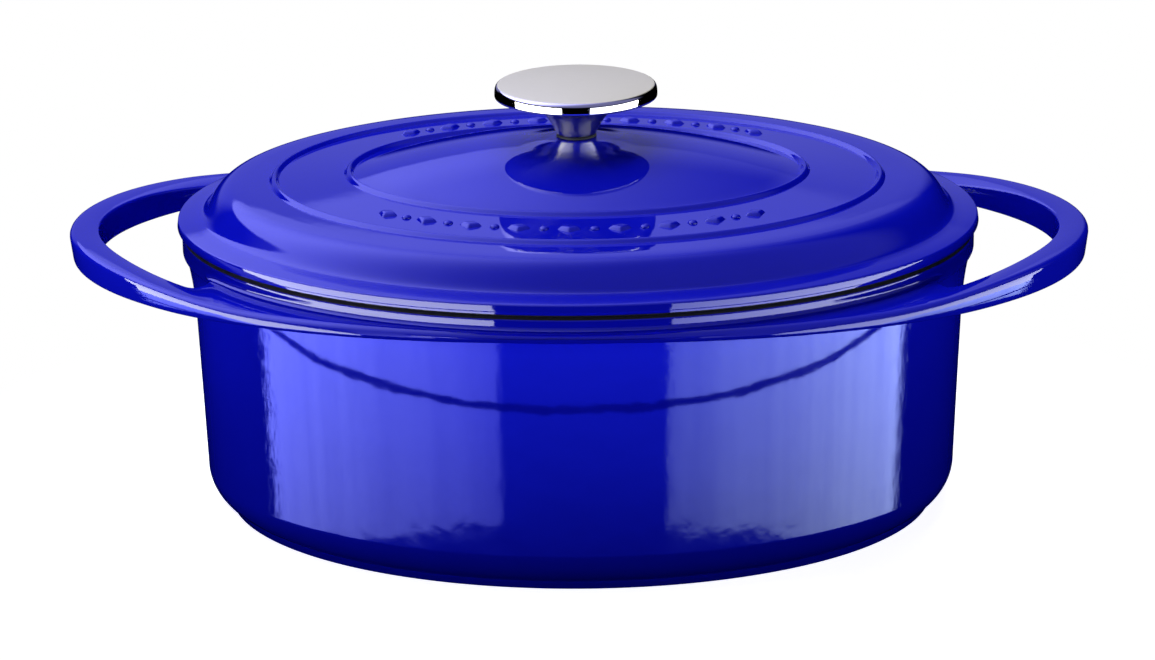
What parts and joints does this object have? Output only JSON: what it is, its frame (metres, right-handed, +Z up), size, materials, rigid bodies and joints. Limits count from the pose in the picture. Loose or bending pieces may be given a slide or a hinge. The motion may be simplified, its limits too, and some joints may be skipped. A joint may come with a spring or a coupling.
{
  "type": "dutch oven",
  "caption": "Oval enamelled cast iron casserole with a belt that runs out into two loop handles, and a domed lid with a metal knob.",
  "frame": {"origin": "on the surface that the pot stands on, under the middle of its foot ring", "axes": "+X along the two loop handles, +Y across the pot, +Z up"},
  "size_m": [0.3792, 0.2392, 0.1593],
  "materials": {
    "blue_enamel": "glossy cobalt blue vitreous enamel over cast iron",
    "cream_enamel": "glossy cream vitreous enamel on the inside of the same castings",
    "rim_enamel": "matt black enamel on the pot's rim and on the lid's seat",
    "knob_steel": "satin face and polished edge and stem",
    "fixing_steel": "zinc plated",
    "black_gasket": "matt black heat-proof gasket"
  },
  "bodies": {
    "pot": {"pot_casting": "blue_enamel"},
    "lid": {"lid_casting": "blue_enamel", "knob_cap": "knob_steel", "knob_stem": "knob_steel", "knob_bush": "fixing_steel", "knob_gasket": "black_gasket", "knob_screw": "fixing_steel", "spring_washer": "fixing_steel", "flat_washer": "fixing_steel"}
  },
  "joints": [
    {"name": "lid_lift", "type": "slide", "parent": "pot", "child": "lid", "axis": [0, 0, 1], "range_m": [0, 0.2]}
  ]
}
